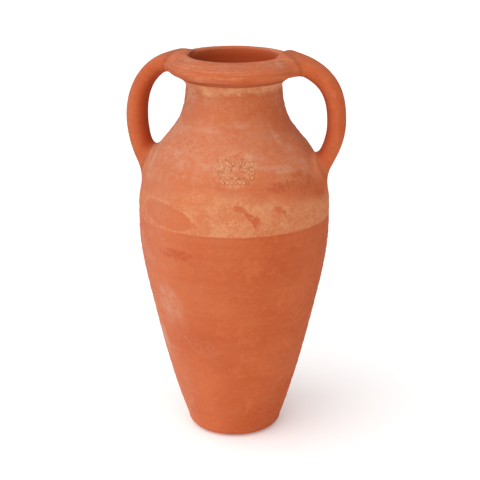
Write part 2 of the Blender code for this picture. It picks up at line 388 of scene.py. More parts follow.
# ---- handles --------------------------------------------------------------------------
class HandleForm:
    """A pulled handle: its middle line in the XZ plane and its oval section."""

    SQUARENESS = 2.35
    PITCH = 0.0010

    def __init__(self, name):
        low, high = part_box(name)
        form = HANDLES[name]
        self.side = form["side"]
        half_depth = high.y / HANDLE_WIDENING
        spans = self.spans(form, max(abs(low.x), abs(high.x)) - half_depth)
        lengths = [np.linalg.norm(np.diff(span, axis=0), axis=1).sum() for span in spans]
        marks = np.concatenate(([0.0], np.cumsum(lengths))) / sum(lengths)
        self.points = evenly(np.vstack(spans), self.PITCH)
        self.along = np.gradient(self.points, axis=0)
        self.along /= np.linalg.norm(self.along, axis=1)[:, None]
        self.across = np.column_stack((-self.along[:, 1], self.along[:, 0]))
        share = np.linspace(0, 1, len(self.points))
        top, middle, foot = form["depths"]
        self.depths = half_depth * np.interp(share, marks, (top * TAIL_SHARE, top, middle, foot))
        flare = np.interp(share, marks[1] + np.array((0.05, 0.26)), (TOP_FLARE, 1))
        self.widths = high.y * flare * np.interp(share, marks, (TAIL_SHARE, 1, 1, foot))

    def spans(self, form, reach):
        """The middle line: a short tail inside the lip, then two curves out and down."""
        top, foot = np.array(form["top"]), np.array(form["foot"])
        side = np.array((reach, SIDE_HEIGHT))
        tail = np.array((TAIL_REACH, top[1] - TAIL_DROP))
        top_way = np.array((math.cos(form["top_slope"]), math.sin(form["top_slope"])))
        foot_way = np.array((math.cos(form["foot_slope"]), math.sin(form["foot_slope"])))
        top_pull, before, after, foot_pull = form["pulls"]
        return (
            curve(tail, tail + (0.003, 0.001), top - top_way * 0.003, top)[:-1],
            curve(top, top + top_way * top_pull, side + (0, before), side)[:-1],
            curve(side, side - (0, after), foot + foot_way * foot_pull, foot),
        )

    def rings(self, turns, every):
        """Surface points at every so many places of the route, for each turn."""
        power = 2 / self.SQUARENESS
        across = np.sign(np.cos(turns)) * np.abs(np.cos(turns)) ** power
        wide = np.sign(np.sin(turns)) * np.abs(np.sin(turns)) ** power
        picked = slice(None, None, every)
        depth = self.depths[picked, None] * across
        flat = self.points[picked, None, :] + self.across[picked, None, :] * depth[..., None]
        y = self.side * wide * self.widths[picked, None]
        return np.stack((self.side * flat[..., 0], y, flat[..., 1]), axis=2)

    def off(self, points):
        """Signed distance from points to the handle's surface, and the way out of it."""
        flat = np.column_stack((self.side * points[:, 0], points[:, 2]))
        index = nearest(flat, self.points)
        offset = flat - self.points[index]
        depth = (offset * self.across[index]).sum(axis=1) / self.depths[index]
        width = points[:, 1] / self.widths[index]
        power = self.SQUARENESS
        level = np.maximum(np.abs(depth) ** power + np.abs(width) ** power, 1e-9) ** (1 / power)
        rise_depth = np.sign(depth) * np.abs(depth / level) ** (power - 1) / self.depths[index]
        rise_width = np.sign(width) * np.abs(width / level) ** (power - 1) / self.widths[index]
        rise = np.maximum(np.hypot(rise_depth, rise_width), 1e-6)
        sideways = (level - 1) / rise
        past_end = (offset * self.along[index]).sum(axis=1)
        past_end = np.where((index == 0) | (index == len(self.points) - 1), past_end, 0)
        distance = np.where(sideways > 0, np.hypot(sideways, past_end), sideways)
        flat_way = self.across[index] * (rise_depth / rise)[:, None]
        return distance, np.column_stack((self.side * flat_way[:, 0], rise_width / rise, flat_way[:, 1]))


def off_both(handle, reach, points):
    """Distance to the jar and handle joined by clay wiped over that reach, and the way out."""
    jar, jar_way = off_jar(points)
    grip, grip_way = handle.off(points)
    near = np.maximum(reach - np.abs(jar - grip), 0) / reach
    share = np.clip(0.5 + 0.5 * (grip - jar) / reach, 0, 1)[:, None]
    return np.minimum(jar, grip) - near ** 2 * reach / 4, jar_way * share + grip_way * (1 - share)


def collar_rings(handle, at_top, reach, turns):
    """Rings of a root's collar from the handle's surface down to the jar's."""
    surface = handle.rings(turns, 1)
    if not at_top:
        surface = surface[::-1]
    surface = surface[: len(surface) * 55 // 100][::-1]
    distances = off_jar(surface.reshape(-1, 3))[0].reshape(surface.shape[:2])
    onto = np.array([crossing(surface[:, i], distances[:, i], 0.0) for i in range(len(turns))])
    above = np.array([crossing(surface[:, i], distances[:, i], reach) for i in range(len(turns))])
    out = away_on_jar(handle, onto, reach)

    t = np.linspace(0, 1, COLLAR_RINGS)[:, None, None]
    rings = above * (1 - t) ** 2 + 2 * onto * t * (1 - t) + out * t ** 2
    flat = rings.reshape(-1, 3)
    for _ in range(5):
        distance, way = off_both(handle, reach, flat)
        flat = flat - (distance / np.maximum((way ** 2).sum(axis=1), 0.2))[:, None] * way
    rings = flat.reshape(rings.shape)
    rings[0] = above
    rings[-1] = out

    above_in = above - COLLAR_SUNK * handle.off(above)[1]
    out_in = out - COLLAR_SUNK * off_jar(out)[1]
    onto_in = onto - COLLAR_SUNK * (handle.off(onto)[1] + off_jar(onto)[1])
    return np.concatenate((rings, [out_in, onto_in, above_in, above]))


def crossing(points, distances, level):
    """Where a line of points first comes within a distance of the jar."""
    below = np.flatnonzero(distances <= level)
    index = max(int(below[0]) if len(below) else len(points) - 1, 1)
    before, after = distances[index - 1], distances[index]
    share = np.clip((before - level) / max(before - after, 1e-9), 0, 1)
    return points[index - 1] * (1 - share) + points[index] * share


def away_on_jar(handle, points, reach):
    """Points moved over the jar's surface until they are a distance from the handle."""
    points = points.copy()
    for _ in range(40):
        normal = off_jar(points)[1]
        distance, rise = handle.off(points)
        rise -= (rise * normal).sum(axis=1)[:, None] * normal
        step = np.clip((reach - distance) * 0.6, -0.002, 0.002)
        points += unit(rise) * step[:, None]
        gap, normal = off_jar(points)
        points -= gap[:, None] * normal
    return points


def unit(vectors):
    return vectors / np.maximum(np.linalg.norm(vectors, axis=1), 1e-9)[:, None]


# ---- hand-made unevenness -------------------------------------------------------------
def uneven(points, shape):
    """Moves every point by the same smooth field, so that joined pieces stay joined."""
    moved = np.empty_like(points)
    slow, quick = 9.0, 42.0
    for index, place in enumerate(points.tolist()):
        place = Vector(place)
        push = noise.noise_vector(place * slow) * shape.wobble
        push += noise.noise_vector(place * quick) * (shape.wobble * 0.22)
        moved[index] = push
    moved[:, 2] *= np.clip(points[:, 2] / 0.03, 0, 1)
    moved[:, 0] -= shape.sway * np.sin(points[:, 2] / HEIGHT * math.pi)
    return points + moved


def throwing_rings(points, inside, shape):
    """Radial ridges left by the potter's fingers, on a slow spiral."""
    height = points[:, 2]
    turn = np.arctan2(points[:, 0], -points[:, 1])
    outer = (
        np.sin(height * 2 * math.pi / 0.0071 + turn)
        + np.sin(height * 2 * math.pi / 0.0113 + turn + 1.3)
        + np.sin(height * 2 * math.pi / 0.0183 + turn + 4.1)
    ) * shape.outer_rings
    inner = np.sin(height * 2 * math.pi / 0.0135 - turn) * shape.inner_rings
    fade = np.clip((HEIGHT - 0.014 - height) / 0.02, 0, 1) * np.clip((height - 0.012) / 0.02, 0, 1)
    depth = (outer * (1 - inside) + inner * inside) * fade
    radius = np.maximum(np.hypot(points[:, 0], points[:, 1]), 1e-6)
    return points + points * (depth / radius)[:, None] * (1, 1, 0)


def inside_share(points):
    """0 on the outer side, 1 on the inner side, with a soft change over the lip."""
    radius = np.hypot(points[:, 0], points[:, 1])
    height = points[:, 2]
    body = radius < outer_radius(np.clip(height, BODY_HEIGHTS[0], LIP_SEAM)) - WALL * 0.6
    body &= height > FLOOR * 0.9
    crest = LIP_RADIUS * 0.70
    lip = np.clip((crest - radius) / (LIP_RADIUS * 0.045), 0, 1)
    return np.where(height > LIP_SEAM, lip, body.astype(float))


# ---- the pressed stamp ----------------------------------------------------------------
class Stamp:
    """A leafy sprig over two rows of beads, pressed into the shoulder and standing proud."""

    TURN = math.radians(13.0)
    HEIGHT = 0.4145
    HALF_WIDTH = 0.0290
    HALF_TALL = 0.0265
    SPREAD = 1.12
    RISE = 1.22
    LINE = 0.0009

    def window(self, points):
        """Local places (right, up) on the shoulder, and which points are near the stamp."""
        turn = np.arctan2(points[:, 0], -points[:, 1]) - self.TURN
        right = turn * outer_radius(self.HEIGHT)
        slope = outer_slope(self.HEIGHT)
        up = (points[:, 2] - self.HEIGHT) * math.hypot(1, slope)
        near = (np.abs(right) < self.HALF_WIDTH + 0.004) & (np.abs(up) < self.HALF_TALL + 0.004)
        return right, up, near

    def relief(self, right, up):
        """How deep the field is pressed, and how far the lines stand in it, from 0 to 1."""
        oval = np.hypot(right / self.HALF_WIDTH, up / self.HALF_TALL)
        field = smooth(oval, 1.14, 0.86)
        right, up = right / self.SPREAD, up / self.RISE
        lines = np.minimum(self.sprig(right, up), self.beads(right, up))
        return field, smooth(lines, self.LINE * 1.5, self.LINE * 0.4) * field

    def sprig(self, right, up):
        """A bowed stem with pairs of pointed leaves and a berry at each fork."""
        crown, bow, reach = 0.0050, 14.0, 0.0195
        distance = np.hypot(up - crown + bow * right ** 2, np.maximum(np.abs(right) - reach, 0))
        for place in (-0.0150, -0.0055, 0.0055, 0.0150):
            base = crown - bow * place ** 2
            lean = math.copysign(math.radians(40), place)
            for rise, tall in ((math.pi / 2 - lean, 0.0110), (-math.pi / 2 + lean, 0.0085)):
                middle = (place + math.cos(rise) * tall * 0.55, base + math.sin(rise) * tall * 0.55)
                edge = leaf(right, up, middle, rise, tall, 0.0050)
                distance = np.minimum(distance, np.abs(edge))
        for place in (-0.0100, 0.0, 0.0100):
            berry = np.hypot(right - place, up - crown - 0.0035 + bow * place ** 2) - 0.0010
            distance = np.minimum(distance, np.maximum(berry, 0))
        return distance

    def beads(self, right, up):
        distance = np.full(len(right), 1.0)
        for row, count, reach in ((-0.0095, 9, 0.0185), (-0.0148, 7, 0.0140)):
            pitch = 2 * reach / (count - 1)
            nearest_bead = np.clip(np.round(right / pitch), -(count // 2), count // 2) * pitch
            distance = np.minimum(distance, np.hypot(right - nearest_bead, up - row) - 0.0009)
        return np.maximum(distance, 0)


def leaf(right, up, middle, turn, length, width):
    """Signed distance to a pointed leaf."""
    x = (right - middle[0]) * math.cos(turn) + (up - middle[1]) * math.sin(turn)
    y = -(right - middle[0]) * math.sin(turn) + (up - middle[1]) * math.cos(turn)
    radius = (length ** 2 / 4 + width ** 2 / 4) / width
    shift = radius - width / 2
    return np.maximum(np.hypot(x, y + shift), np.hypot(x, y - shift)) - radius


def smooth(value, low, high):
    """0 at low, 1 at high, eased between them."""
    t = np.clip((value - low) / (high - low), 0, 1)
    return t * t * (3 - 2 * t)


# ---- meshes ---------------------------------------------------------------------------
WEDGES = 16
LIGHT_TURN = math.radians(12.0)


def spun(profile, steps, closed):
    """A bmesh of a (radius, height) profile spun about the jar's axis, one wedge at a time."""
    bm = bmesh.new()
    verts = [bm.verts.new((radius, 0.0, height)) for radius, height in profile]
    edges = [bm.edges.new(pair) for pair in zip(verts, verts[1:])]
    if closed:
        edges.append(bm.edges.new((verts[-1], verts[0])))
    wedge = 2 * math.pi / WEDGES
    bmesh.ops.spin(
        bm, geom=verts + edges, cent=(0, 0, 0), axis=(0, 0, 1), dvec=(0, 0, 0),
        angle=wedge, steps=steps // WEDGES, use_merge=False, use_duplicate=False,
    )
    while wedge < 2 * math.pi - 0.001:
        copied = bmesh.ops.duplicate(bm, geom=bm.verts[:] + bm.edges[:] + bm.faces[:])["geom"]
        bmesh.ops.rotate(
            bm, verts=[item for item in copied if isinstance(item, bmesh.types.BMVert)],
            cent=(0, 0, 0), matrix=Matrix.Rotation(wedge, 3, "Z"),
        )
        wedge *= 2
    bmesh.ops.remove_doubles(bm, verts=bm.verts, dist=0.00002)
    bmesh.ops.recalc_face_normals(bm, faces=bm.faces)
    return bm


def lofted(rings, capped):
    """A bmesh through rings of points, each ring closed on itself."""
    rows, columns = len(rings), len(rings[0])
    bm = bmesh.new()
    bmesh.ops.create_grid(bm, x_segments=columns, y_segments=rows - 1, size=1)
    bm.verts.ensure_lookup_table()
    for index, vert in enumerate(bm.verts):
        row, column = divmod(index, columns + 1)
        vert.co = rings[row][column % columns]
    bmesh.ops.remove_doubles(bm, verts=bm.verts, dist=0.000002)
    if capped:
        bmesh.ops.holes_fill(bm, edges=[edge for edge in bm.edges if edge.is_boundary], sides=0)
    bmesh.ops.recalc_face_normals(bm, faces=bm.faces)
    return bm


def coordinates(mesh):
    flat = np.empty(len(mesh.vertices) * 3, np.float32)
    mesh.vertices.foreach_get("co", flat)
    return flat.reshape(-1, 3).astype(float)


def add_piece(name, bm, sharp=math.radians(50)):
    mesh = bpy.data.meshes.new(name)
    bm.to_mesh(mesh)
    bm.free()
    mesh.shade_smooth()
    mesh.set_sharp_from_angle(angle=sharp)
    piece = bpy.data.objects.new(name, mesh)
    bpy.context.scene.collection.objects.link(piece)
    return piece


def shape_clay(piece, shape, rings=True, stamp=None, grip=None):
    """Gives a piece its unevenness, and marks its inner side, its stamp and its handle clay."""
    points = coordinates(piece.data)
    inside = inside_share(points)
    set_attribute(piece.data, "inside", inside)
    if grip is not None:
        set_attribute(piece.data, "grip", grip(points))
    if rings:
        points = throwing_rings(points, inside, shape)
    if stamp is not None:
        points = press(piece.data, points, inside, stamp, shape.stamp_depth)
    points = uneven(points, shape)
    piece.data.vertices.foreach_set("co", points.astype(np.float32).ravel())
    piece.data.update()


def press(mesh, points, inside, stamp, stamp_depth):
    """Presses the stamp into the outer side and marks its field and its lines."""
    right, up, near = stamp.window(points)
    near &= inside < 0.5
    field, lines = stamp.relief(right, up)
    field = np.where(near, field, 0)
    lines = np.where(near, lines * unworn_share(points, near), 0)
    set_attribute(mesh, "stamp_field", field)
    set_attribute(mesh, "stamp_lines", lines)
    slope = outer_slope(stamp.HEIGHT)
    radius = np.hypot(points[:, 0], points[:, 1])
    outwards = np.column_stack((points[:, :2] / radius[:, None], np.full(len(points), -slope)))
    depth = (0.30 * field - lines) * stamp_depth
    return points - outwards * (depth / math.hypot(1, slope))[:, None]


def unworn_share(points, near):
    """How much of the stamp's lines is left at each point that is near it."""
    share = np.ones(len(points))
    for index in np.flatnonzero(near):
        share[index] = 0.80 + 0.9 * noise.noise(Vector(points[index]) * 210.0)
    return np.clip(share, 0.35, 1)


def handle_share(points):
    """0 on the jar's surface, 1 on clay that stands well off it."""
    return smooth(off_jar(points)[0], 0.003, 0.012)


def set_attribute(mesh, name, values):
    attribute = mesh.attributes.new(name, "FLOAT", "POINT")
    attribute.data.foreach_set("value", np.asarray(values, np.float32))


def settle(piece, slot, *nodes):
    """The finished piece stands for its solids and takes the clay's finish."""
    piece.data.materials.append(clay_material())
    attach(piece, "root")
    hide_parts(*nodes)


# ---- the clay's material --------------------------------------------------------------
class Channel:
    """One output socket, with sums written as Python expressions."""

    def __init__(self, wiring, socket):
        self.wiring = wiring
        self.socket = socket

    def maths(self, operation, *values):
        return self.wiring.add("ShaderNodeMath", {"operation": operation}, dict(enumerate(values)))

    def __add__(self, other):
        return self.maths("ADD", self, other)

    def __radd__(self, other):
        return self.maths("ADD", other, self)

    def __sub__(self, other):
        return self.maths("SUBTRACT", self, other)

    def __rsub__(self, other):
        return self.maths("SUBTRACT", other, self)

    def __mul__(self, other):
        return self.maths("MULTIPLY", self, other)

    def __rmul__(self, other):
        return self.maths("MULTIPLY", other, self)

    def most(self, other):
        return self.maths("MAXIMUM", self, other)

    def size(self):
        return self.maths("ABSOLUTE", self)


class Wiring:
    """Adds nodes to a material or a world and links them."""

    def __init__(self, owner):
        owner.use_nodes = True
        self.tree = owner.node_tree

    def add(self, kind, settings=None, inputs=None, output=0):
        """A node with its settings made first, then its sockets' values or links."""
        node = self.tree.nodes.new(kind)
        for name, value in (settings or {}).items():
            if name == "stops":
                self.set_stops(node.color_ramp, value)
            else:
                setattr(node, name, value)
        for name, value in (inputs or {}).items():
            self.feed(node.inputs[name], value)
        return Channel(self, node.outputs[output])

    def feed(self, socket, value):
        if isinstance(value, Channel):
            self.tree.links.new(value.socket, socket)
        else:
            socket.default_value = value

    def set_stops(self, ramp, stops):
        while len(ramp.elements) < len(stops):
            ramp.elements.new(1.0)
        for element, (position, value) in zip(ramp.elements, stops):
            element.position = position
            element.color = (value, value, value, 1.0)

    def noise(self, place, scale, detail=3.0, roughness=0.55, distortion=0.0):
        return self.add(
            "ShaderNodeTexNoise", {},
            {"Vector": place, "Scale": scale, "Detail": detail, "Roughness": roughness,
             "Distortion": distortion},
        )

    def stretched(self, place, across, up):
        """A place squeezed so that patterns on it run round the jar."""
        return self.add(
            "ShaderNodeVectorMath", {"operation": "MULTIPLY"}, {0: place, 1: (across, across, up)}
        )

    def ramp(self, value, low, high):
        """0 below low, 1 above high, eased between them; low may be the larger."""
        return self.add(
            "ShaderNodeMapRange", {"interpolation_type": "SMOOTHSTEP", "clamp": True},
            {0: value, 1: low, 2: high, 3: 0.0, 4: 1.0},
        )

    def band(self, height, low, low_soft, high, high_soft):
        """1 between two heights, with its own softness at each edge."""
        rise = self.ramp(height, low - low_soft, low + low_soft)
        fall = self.ramp(height, high + high_soft, high - high_soft)
        return rise * fall

    def dot(self, first, second):
        return self.add(
            "ShaderNodeVectorMath", {"operation": "DOT_PRODUCT"}, {0: first, 1: second}, "Value"
        )

    def oval(self, place, spot):
        """A patch's own measure: 0 at its middle, 1 along its edge, and more outside."""
        degrees, height, wide, tall, lean = spot
        turn = math.radians(degrees)
        lean = math.radians(lean)
        radius = surface_radius(height)
        middle = (radius * math.sin(turn), -radius * math.cos(turn), height)
        offset = self.add("ShaderNodeVectorMath", {"operation": "SUBTRACT"}, {0: place, 1: middle})
        right = Vector((math.cos(turn), math.sin(turn), 0.0))
        up = Vector((0.0, 0.0, 1.0))
        across = self.dot(offset, (right * math.cos(lean) + up * math.sin(lean)) / wide)
        along = self.dot(offset, (up * math.cos(lean) - right * math.sin(lean)) / tall)
        deep = self.dot(offset, Vector((math.sin(turn), -math.cos(turn), 0.0)) / (wide + tall))
        return across * across + along * along + deep * deep

    def patches(self, place, spots, ragged, soft=0.35):
        """1 in any of several ragged patches, 0 elsewhere."""
        total = None
        for spot in spots:
            share = self.ramp(self.oval(place, spot) + ragged, 1 + soft, 1 - soft)
            total = share if total is None else total.most(share)
        return total

    def mixed(self, share, first, second):
        return self.add(
            "ShaderNodeMix", {"data_type": "RGBA", "clamp_factor": True},
            {0: share, 6: first, 7: second}, 2,
        )

    def attribute(self, name):
        return self.add("ShaderNodeAttribute", {"attribute_name": name}, {}, "Fac")


def colour(values):
    return (*values, 1.0)


# Patches on the jar: turn from the stamped side in degrees, height, half width, half height
# in metres, and lean in degrees.
TONGUES = ((-33, 0.3475, 0.050, 0.0170, -7), (152, 0.3480, 0.058, 0.0150, 5))
BARE_SPOTS = (
    (15, 0.3655, 0.0085, 0.0042, -20), (20, 0.3570, 0.0095, 0.0050, -48),
    (24, 0.3470, 0.0050, 0.0075, 0), (38, 0.3625, 0.0055, 0.0038, -35),
    (42, 0.3575, 0.0035, 0.0030, 0), (3, 0.4635, 0.0070, 0.0045, -30),
    (13, 0.4535, 0.0065, 0.0060, -25), (96, 0.3600, 0.0110, 0.0060, 25),
    (118, 0.3480, 0.0070, 0.0050, 0), (-118, 0.3620, 0.0120, 0.0055, -15),
    (-140, 0.3450, 0.0060, 0.0045, 0), (175, 0.3690, 0.0080, 0.0040, 10),
    (165, 0.4550, 0.0090, 0.0060, 20), (-75, 0.3520, 0.0060, 0.0040, 30),
)
DEEP_SPOTS = (
    (62, 0.3915, 0.0270, 0.0120, 0), (45, 0.3900, 0.0240, 0.0080, 0),
    (-150, 0.3950, 0.0300, 0.0100, 0), (140, 0.2500, 0.0400, 0.0300, 0),
    (-100, 0.1800, 0.0350, 0.0350, 0), (-24, 0.2950, 0.0260, 0.0080, 0),
)
PALE_SPOTS = (
    (13, 0.4165, 0.0300, 0.0090, 0), (-6, 0.4165, 0.0190, 0.0045, 0),
    (42, 0.4120, 0.0300, 0.0050, -8), (28, 0.4270, 0.0260, 0.0035, -14),
    (-36, 0.2150, 0.0260, 0.0340, 15), (-60, 0.1700, 0.0120, 0.0480, 8),
    (54, 0.4480, 0.0050, 0.0200, 24), (-42, 0.4230, 0.0220, 0.0070, 16), (-28, 0.4150, 0.0180, 0.0060, 0),
    (12, 0.4660, 0.0200, 0.0040, 0), (-12, 0.4600, 0.0170, 0.0050, 0),
    (66, 0.4120, 0.0160, 0.0110, -25), (60, 0.4280, 0.0130, 0.0120, -30),
    (72, 0.4920, 0.0080, 0.0180, 0), (-48, 0.5000, 0.0130, 0.0100, 0),
    (-10, 0.5270, 0.0280, 0.0036, 0), (58, 0.5460, 0.0060, 0.0040, 0),
    (-62, 0.4050, 0.0200, 0.0200, 0), (120, 0.4300, 0.0250, 0.0080, 10),
    (-160, 0.4350, 0.0250, 0.0070, -10), (170, 0.5050, 0.0300, 0.0060, 0),
)


def clay_material():
    """The fired clay with its bloom, dusty film and painted sheen, stamp, painted shade and dark inside,
    made once.
    """
    material = bpy.data.materials.get("fired_clay")
    if material is None:
        material = bpy.data.materials.new("fired_clay")
        wire_clay(Wiring(material), bpy.context.scene.amphora_clay)
    return material


class Patterns:
    """The noises that the clay's layers share"""

    def __init__(self, wiring, place):
        self.slow = wiring.noise(place, 12.0, 3.0)
        self.cloud = wiring.noise(place, 26.0, 5.0, 0.62, 0.8)
        self.patch = wiring.noise(place, 48.0, 4.0, 0.6)
        self.mottle = wiring.noise(place, 170.0, 4.0, 0.65)
        self.fleck = wiring.noise(place, 430.0, 2.0, 0.6)
        self.grain = wiring.noise(place, 900.0, 2.0)
        self.streaks = wiring.noise(wiring.stretched(place, 7.0, 120.0), 1.0, 4.0, 0.6)
        self.lines = wiring.noise(wiring.stretched(place, 16.0, 420.0), 1.0, 3.0, 0.6)
        self.ragged = (self.patch - 0.5) * 2.8 + (self.mottle - 0.5) * 3.4 + (self.fleck - 0.5) * 2.4
        level = self.mottle * 0.38 + self.cloud * 0.40 + self.fleck * 0.22
        self.broken = wiring.ramp(level, 0.42, 0.59)


def wire_clay(wiring, clay):
    place = wiring.add("ShaderNodeTexCoord", {}, {}, "Object")
    height = wiring.add("ShaderNodeSeparateXYZ", {}, {0: place}, "Z")
    normal = wiring.add("ShaderNodeNewGeometry", {}, {}, "Normal")
    upward = wiring.dot(normal, (0.0, 0.0, 1.0))
    outward = wiring.dot(normal, wiring.stretched(place, 1.0, 0.0))
    # How far the surface faces right; it places the painted sheen and painted shade on the left side.
    rightward = wiring.dot(normal, (math.cos(LIGHT_TURN), math.sin(LIGHT_TURN), 0.0))
    grip = wiring.attribute("grip")
    inner = wiring.attribute("inside")
    patterns = Patterns(wiring, place)

    base = fired(wiring, clay, place, grip, patterns)
    bloom = lime(wiring, place, height, rightward, grip, patterns)
    bloomed = wiring.mixed(bloom, base, colour(clay.bloom))
    # Dusty film and painted sheen: on up-facing clay, and on what faces left.
    dust_and_sheen = dusting_and_sheen(wiring, place, height, upward, rightward, grip, patterns)
    with_dust_and_sheen = wiring.mixed(dust_and_sheen, bloomed, colour(clay.dust_and_sheen))
    stamped = stamp_colours(wiring, clay, with_dust_and_sheen, patterns)
    # Painted shade under the lip, round the handle roots and on the left edge, with the clay's own dark
    # lines.
    dirt_and_shade_share = creases(wiring, height, rightward, grip, patterns)
    creased_and_shaded = wiring.mixed(dirt_and_shade_share, stamped, colour(clay.dirt_and_shade))
    # Painted shade on the handles' inner sides, which face the jar, in the inside colour.
    backs = wiring.ramp(outward, 0.055, -0.085) * grip
    with_handle_back_shade = wiring.mixed(backs * 0.72, creased_and_shaded, colour(clay.inner))
    pits = wiring.ramp(patterns.grain, 0.55, 0.70) * (0.26 + 0.36 * patterns.cloud)
    pitted = wiring.mixed(pits, with_handle_back_shade, colour(clay.deep))
    whole = wiring.mixed(inner, pitted, colour(clay.inner))

    shader = wiring.tree.nodes["Principled BSDF"]
    shader.inputs["Specular IOR Level"].default_value = 0.12
    wiring.feed(shader.inputs["Base Color"], whole)
    wiring.feed(shader.inputs["Roughness"], 0.80 + 0.14 * patterns.mottle + 0.04 * bloom)
    bumps = patterns.grain * 0.34 + patterns.fleck * 0.40 + patterns.mottle * 0.60
    bumps = bumps + patterns.streaks * 0.30 + patterns.lines * 0.15 + bloom * 0.25
    bump = wiring.add(
        "ShaderNodeBump", {}, {"Strength": 0.65, "Distance": 0.0006, "Height": bumps}
    )
    wiring.feed(shader.inputs["Normal"], bump)


def fired(wiring, clay, place, grip, patterns):
    """The clay itself, redder where it fired harder."""
    level = patterns.slow * 0.30 + patterns.cloud * 0.30 + patterns.mottle * 0.30
    level = level + patterns.streaks * 0.10
    hard = wiring.ramp(level, 0.41, 0.60)
    spots = wiring.patches(place, DEEP_SPOTS, patterns.ragged * 0.6, 0.8) * (1.0 - grip)
    return wiring.mixed((hard * 0.9).most(spots), colour(clay.body), colour(clay.deep))


def lime(wiring, place, height, rightward, grip, patterns):
    """The pale band on the belly with its bare places, a film above, and one under the lip."""
    aside = wiring.dot(place, (1.0, 0.0, 0.0))
    wavy = height + (patterns.mottle - 0.5) * 0.0034
    top = height + aside * aside * 1.45 + (patterns.slow - 0.5) * 0.016
    top = top + (patterns.cloud - 0.5) * 0.022 + (patterns.mottle - 0.5) * 0.006
    band = wiring.ramp(wavy, BELLY_SEAM - 0.0006, BELLY_SEAM + 0.0018)
    band = band * wiring.ramp(top, 0.394, 0.376)
    bare = wiring.patches(place, BARE_SPOTS, patterns.ragged * 0.95, 0.65)
    rim, tongue = None, None
    for spot in TONGUES:
        measure = wiring.oval(place, spot) + patterns.ragged * 0.13
        edge = wiring.ramp((measure - 1.10).size(), 0.30, 0.02)
        inside = wiring.ramp(measure, 1.14, 0.80)
        rim = edge if rim is None else rim.most(edge)
        tongue = inside if tongue is None else tongue.most(inside)
    rim = rim * (0.25 + 0.75 * wiring.ramp(height, 0.338, 0.352)) * patterns.broken
    thick = 0.50 + 0.50 * wiring.ramp(rightward, -0.85, -0.10)
    cover = (0.22 + 0.42 * patterns.broken) * thick * (1.0 - tongue * 0.70) + rim * 0.20
    belly = band * cover * (1.0 - bare * 0.85)

    above = wiring.ramp(height, 0.372, 0.400) * wiring.ramp(height, 0.515, 0.500)
    film = above * (0.08 + 0.24 * patterns.broken)

    neck_low = wiring.ramp(height + (patterns.cloud - 0.5) * 0.020, 0.5020, 0.5080)
    neck_band = neck_low * wiring.ramp(wavy, 0.5185, 0.5150)
    thick_neck = wiring.ramp(patterns.patch * 0.5 + patterns.mottle * 0.5, 0.40, 0.58)
    worn_off = wiring.ramp(patterns.cloud * 0.6 + patterns.mottle * 0.4, 0.40, 0.52)
    under_lip = neck_band * (0.22 + 0.34 * thick_neck + 0.24 * worn_off)

    on_lip = wiring.ramp(height, LIP_SEAM + 0.003, LIP_SEAM + 0.010)
    wiped = wiring.ramp(patterns.lines * 0.65 + patterns.mottle * 0.35, 0.51, 0.64) * on_lip * 0.34
    blotches = wiring.ramp(patterns.cloud * 0.6 + patterns.mottle * 0.4, 0.50, 0.64)
    below = wiring.ramp(height, BELLY_SEAM + 0.002, BELLY_SEAM - 0.004) * blotches * 0.13
    return (belly + film + under_lip + wiped + below) * (1.0 - grip) + grip * blotches * 0.16


def dusting_and_sheen(wiring, place, height, upward, rightward, grip, patterns):
    """Pinkish dusty film with painted sky sheen on what faces up, painted sheen with some dusty film on
    what faces left and on the left edge, and dusty film in pale wiped patches.
    """
    upper = wiring.ramp(height + (patterns.slow - 0.5) * 0.02, 0.385, 0.425)
    # Painted sheen of the light from the left, with some dusty film, on what faces left and on the left
    # edge.
    left = wiring.ramp(rightward, 0.45, -0.95)
    edge = wiring.ramp(rightward, -0.50, -0.98)
    # Up-facing clay: partly a dusty film, partly painted sky sheen.
    facing = wiring.ramp(upward, 0.15, 0.85)
    face = wiring.ramp(height, LIP_SEAM, LIP_SEAM + 0.012)
    dust_and_sheen_veil = left * (0.17 + 0.15 * upper) * (1.0 - face * 0.70) + edge * (0.30 - 0.15 * face)
    dust_and_sheen_veil = dust_and_sheen_veil + facing * (0.30 + face * 0.06)
    dust_and_sheen_veil = dust_and_sheen_veil * (1.0 - grip * 0.60)
    pale = wiring.patches(place, PALE_SPOTS, patterns.ragged * 1.05, 0.8)
    return dust_and_sheen_veil * (0.35 + 0.65 * patterns.broken) + pale * (0.10 + 0.36 * patterns.broken)


def stamp_colours(wiring, clay, under, patterns):
    """Lime in the stamp's field and on its lines, and painted shade in the creases along their edges."""
    lines = wiring.attribute("stamp_lines")
    field = wiring.attribute("stamp_field")
    limed = field * (0.02 + 0.34 * patterns.broken)
    pale = wiring.mixed(limed, under, colour(clay.bloom))
    # Painted shade in the creases along the raised lines.
    edges = wiring.ramp(lines, 0.02, 0.20) * wiring.ramp(lines, 0.80, 0.40)
    shaded = wiring.mixed(edges * (0.10 + 0.50 * patterns.mottle), pale, colour(clay.dirt_and_shade))
    crests = wiring.ramp(lines + (patterns.mottle - 0.5) * 0.5, 0.45, 0.95)
    return wiring.mixed(crests * 0.60, shaded, colour(clay.bloom))


